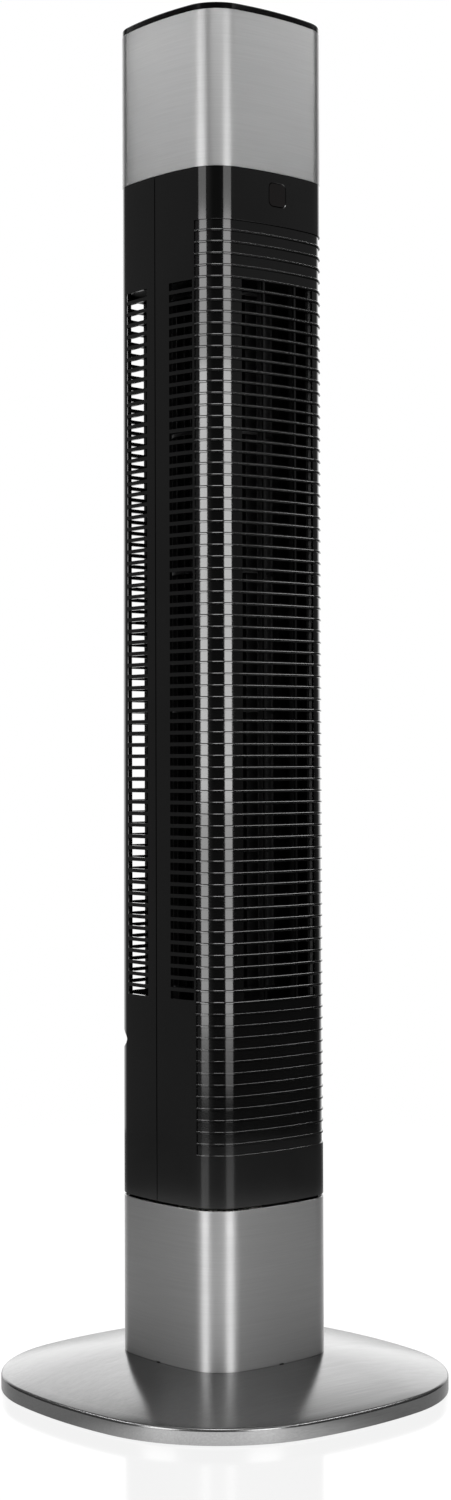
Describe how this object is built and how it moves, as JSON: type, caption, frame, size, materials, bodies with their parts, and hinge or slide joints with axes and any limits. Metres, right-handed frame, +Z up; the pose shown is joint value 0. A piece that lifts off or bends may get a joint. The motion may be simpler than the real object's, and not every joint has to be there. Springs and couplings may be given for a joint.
{
  "type": "tower fan",
  "caption": "Square-column tower fan with a ribbed black outlet grille, brushed steel head and collar, and a domed steel base, oscillating over its base.",
  "frame": {"origin": "centre of the underside, on the floor, on the swivel axis", "axes": "+Z up, the air outlet faces -Y, the buttons run along X on top"},
  "size_m": [0.3046, 0.3046, 1],
  "materials": {
    "brushed_plate": "brushed across the front, satin",
    "brushed_sleeve": "fine horizontal brushing, satin",
    "black_shell": "moulded, semi-gloss",
    "black_cap": "moulded, glossy",
    "dark_plastic": "moulded, fine texture",
    "impeller_plastic": "moulded, satin",
    "rubber": "matt",
    "cast_weight": "rough casting, painted",
    "zinc_screw": "zinc plated",
    "pedestal_plastic": "glass-filled, satin",
    "acetal": "self-lubricating, satin",
    "motor_steel": "zinc plated sheet",
    "core_steel": "stacked laminations",
    "copper_winding": "enamelled wire",
    "bronze": "sintered bronze",
    "circuit_board": "solder mask",
    "board_component": "moulded",
    "capacitor_case": "moulded",
    "loom": "vinyl sleeving",
    "smoked_lens": "clear dark red, polished",
    "button_plastic": "moulded, semi-gloss"
  },
  "bodies": {
    "base": {"base_cover": "brushed_plate", "base_weight": "cast_weight", "base_pan": "dark_plastic", "base_feet": "rubber", "pan_screws": "zinc_screw", "base_bolts": "zinc_screw", "cord_grommet": "rubber", "pedestal": "pedestal_plastic", "fixed_gear": "acetal", "thrust_washer": "acetal", "collar": "brushed_sleeve", "collar_liner": "dark_plastic"},
    "tower": {"head_sleeve": "brushed_sleeve", "front_shell": "black_shell", "rear_shell": "black_shell", "top_cap": "black_cap", "lower_plate": "dark_plastic", "scroll_wall": "dark_plastic", "air_tongue": "dark_plastic", "outlet_frame": "dark_plastic", "motor_bridge": "dark_plastic", "upper_bridge": "dark_plastic", "head_frame": "dark_plastic", "neck_clip": "zinc_screw", "neck_screws": "zinc_screw", "shell_screws": "zinc_screw", "motor_bolts": "zinc_screw", "swivel_neck": "acetal", "osc_motor": "motor_steel", "motor_upper_bell": "motor_steel", "motor_lower_bell": "motor_steel", "motor_stator": "core_steel", "motor_windings": "copper_winding", "motor_bushes": "bronze", "top_bearing": "bronze", "power_board": "circuit_board", "control_board": "circuit_board", "board_parts": "board_component", "tact_switches": "board_component", "ir_receiver": "board_component", "led_display": "board_component", "motor_capacitor": "capacitor_case", "wiring_loom": "loom", "display_lens": "smoked_lens", "ir_window": "smoked_lens"},
    "impeller": {"impeller_coupling": "rubber", "impeller_stage_1": "impeller_plastic", "impeller_stage_2": "impeller_plastic", "impeller_stage_3": "impeller_plastic", "impeller_stage_4": "impeller_plastic", "impeller_stage_5": "impeller_plastic", "impeller_top_disc": "impeller_plastic", "motor_rotor": "core_steel", "motor_shaft": "core_steel"},
    "osc_pinion": {"osc_pinion": "acetal"},
    "button_power": {"button_power": "button_plastic"},
    "button_speed": {"button_speed": "button_plastic"},
    "button_timer": {"button_timer": "button_plastic"},
    "button_swing": {"button_swing": "button_plastic"}
  },
  "joints": [
    {"name": "oscillate", "type": "hinge", "parent": "base", "child": "tower", "pos_m": [0, 0, 0.14], "axis": [0, 0, 1], "range_deg": [-40, 40]},
    {"name": "impeller_spin", "type": "hinge", "parent": "tower", "child": "impeller", "pos_m": [0, 0, 0.5], "axis": [0, 0, 1], "continuous": true},
    {"name": "pinion_spin", "type": "hinge", "parent": "tower", "child": "osc_pinion", "pos_m": [0, 0.036, 0.13], "axis": [0, 0, 1], "range_deg": [-125, 125]},
    {"name": "button_power_press", "type": "slide", "parent": "tower", "child": "button_power", "axis": [0, 0, -1], "range_m": [0, 0.0006], "stiffness_N_per_m": 600},
    {"name": "button_speed_press", "type": "slide", "parent": "tower", "child": "button_speed", "axis": [0, 0, -1], "range_m": [0, 0.0006], "stiffness_N_per_m": 600},
    {"name": "button_timer_press", "type": "slide", "parent": "tower", "child": "button_timer", "axis": [0, 0, -1], "range_m": [0, 0.0006], "stiffness_N_per_m": 600},
    {"name": "button_swing_press", "type": "slide", "parent": "tower", "child": "button_swing", "axis": [0, 0, -1], "range_m": [0, 0.0006], "stiffness_N_per_m": 600}
  ],
  "couplings": [
    {"joint": "pinion_spin", "follows": "oscillate", "ratio": 3}
  ]
}
